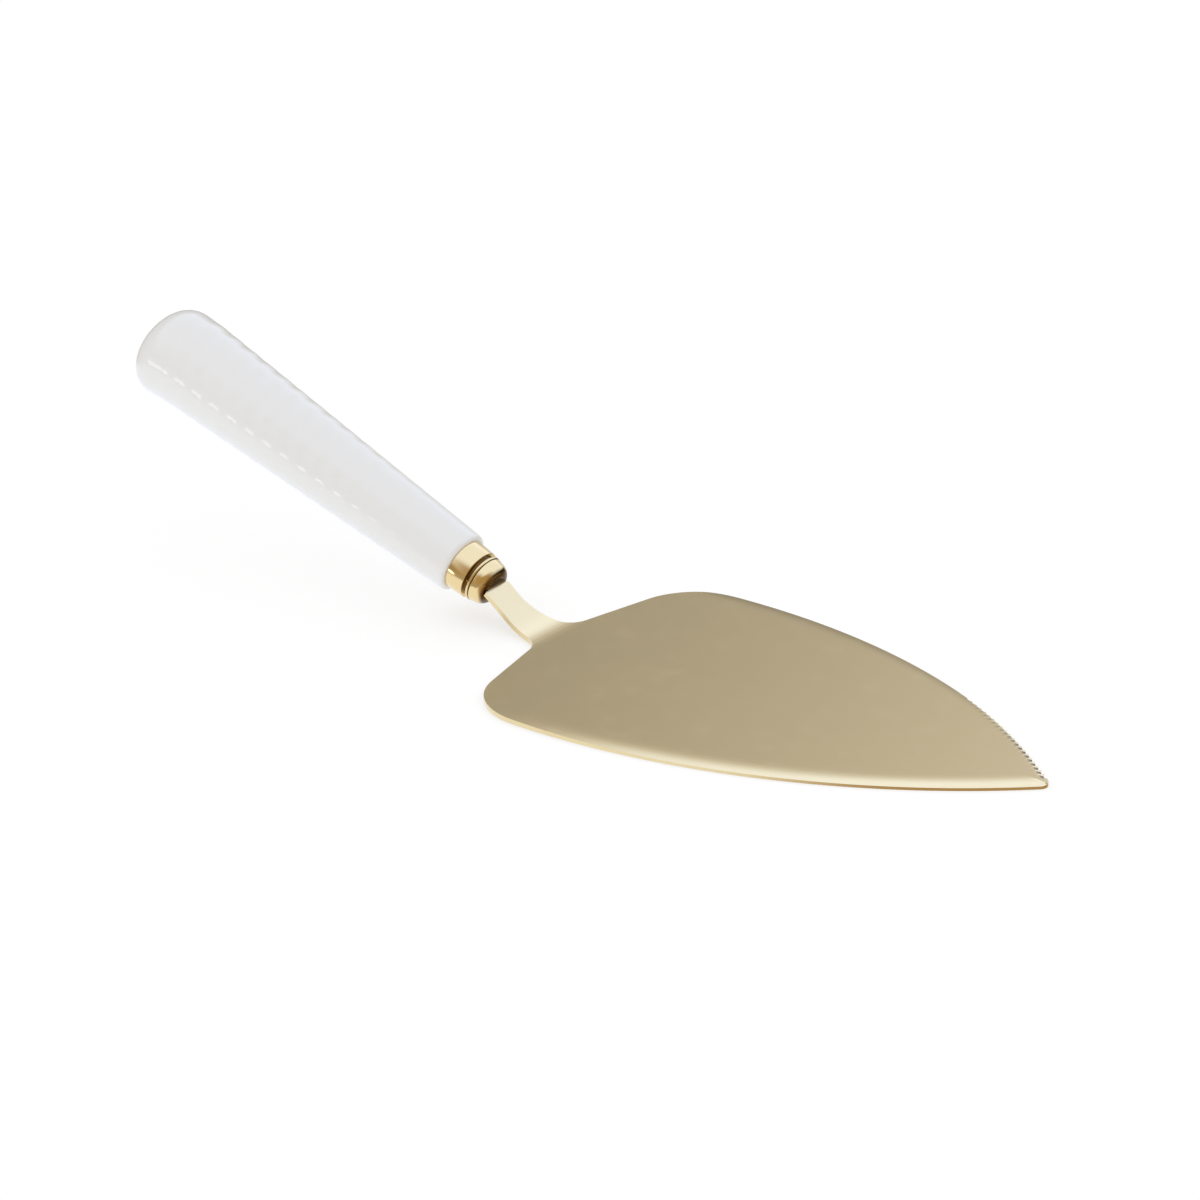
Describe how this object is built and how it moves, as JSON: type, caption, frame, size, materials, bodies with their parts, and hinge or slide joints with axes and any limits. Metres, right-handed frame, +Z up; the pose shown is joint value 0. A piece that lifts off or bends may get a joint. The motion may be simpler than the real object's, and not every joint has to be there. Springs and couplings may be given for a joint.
{
  "type": "cake server",
  "caption": "Cake server with a wide leaf-shaped gold-toned blade, toothed along one edge, on a cranked neck with a turned bolster and a white ringed porcelain handle.",
  "frame": {"origin": "on the underside of the blade, on its centre line, at its widest place", "axes": "+X to the point of the blade, +Z up from the flat blade, +Y to the toothed edge"},
  "size_m": [0.2648, 0.09, 0.0584],
  "materials": {
    "porcelain": "glossy white glaze over shallow throwing rings",
    "cement": "matt set cement, hidden inside the handle",
    "ferrule_gold": "polished gold tone",
    "bolster_gold": "polished gold tone",
    "blade_gold": "steel plated in pale gold, polished"
  },
  "bodies": {
    "root": {"handle": "porcelain", "cement_core": "cement", "ferrule": "ferrule_gold", "bolster": "bolster_gold", "blade": "blade_gold"}
  },
  "joints": []
}
